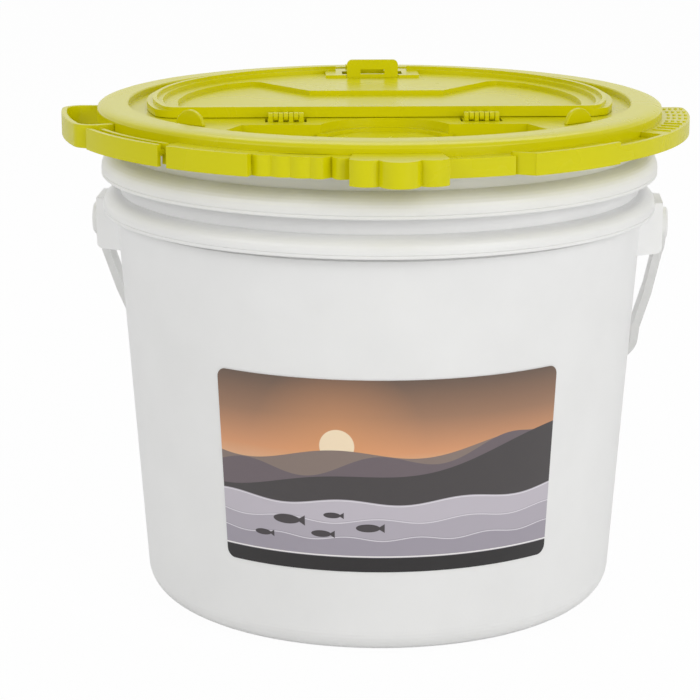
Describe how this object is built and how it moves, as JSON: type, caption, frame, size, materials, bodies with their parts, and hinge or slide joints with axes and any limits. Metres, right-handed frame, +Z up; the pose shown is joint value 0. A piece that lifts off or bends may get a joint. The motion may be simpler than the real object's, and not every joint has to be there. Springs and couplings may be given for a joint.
{
  "type": "insulated bait bucket",
  "caption": "Insulated bait bucket: white round pail with foam liner, lime press-fit lid with hinged hatch and spring latch, side holders, and a swinging plastic bail.",
  "frame": {"origin": "centre of the pail's base, on the surface it stands on", "axes": "+Z up along the pail's axis; +X along the hatch's hinge line; -Y is the front, where the label, the lid's grip and the hinges are"},
  "size_m": [0.3444, 0.3386, 0.2857],
  "materials": {
    "pail_plastic": "satin white polyethylene",
    "lid_plastic": "glossy lime polyethylene",
    "bail_plastic": "satin off-white polypropylene",
    "foam": "white bead foam",
    "label_film": null
  },
  "bodies": {
    "pail_body": {"pail": "pail_plastic", "foam_liner": "foam", "label": "label_film"},
    "bail_body": {"bail": "bail_plastic"},
    "lid_body": {"lid": "lid_plastic", "hinge_left": "lid_plastic", "hinge_right": "lid_plastic", "hatch_stop_left": "lid_plastic", "hatch_stop_right": "lid_plastic", "aerator_holder": "lid_plastic", "band_left": "lid_plastic", "band_scallops": "lid_plastic", "front_grip": "lid_plastic", "band_right": "lid_plastic", "thumb_tab": "lid_plastic"},
    "door_body": {"hatch_door": "lid_plastic"},
    "latch_body": {"latch": "lid_plastic"}
  },
  "joints": [
    {"name": "bail_swing", "type": "hinge", "parent": "pail_body", "child": "bail_body", "pos_m": [0, 0, 0.2085], "axis": [0.9968, -0.0802, 0], "range_deg": [0, 90]},
    {"name": "lid_lift", "type": "slide", "parent": "pail_body", "child": "lid_body", "axis": [0, 0, 1], "range_m": [0, 0.06]},
    {"name": "door_swing", "type": "hinge", "parent": "lid_body", "child": "door_body", "pos_m": [0, -0.059, 0.2755], "axis": [1, 0, 0], "range_deg": [0, 105]},
    {"name": "latch_flex", "type": "hinge", "parent": "door_body", "child": "latch_body", "pos_m": [0, 0.0982, 0.275], "axis": [1, 0, 0], "range_deg": [0, 12], "stiffness_Nm_per_rad": 0.15}
  ]
}
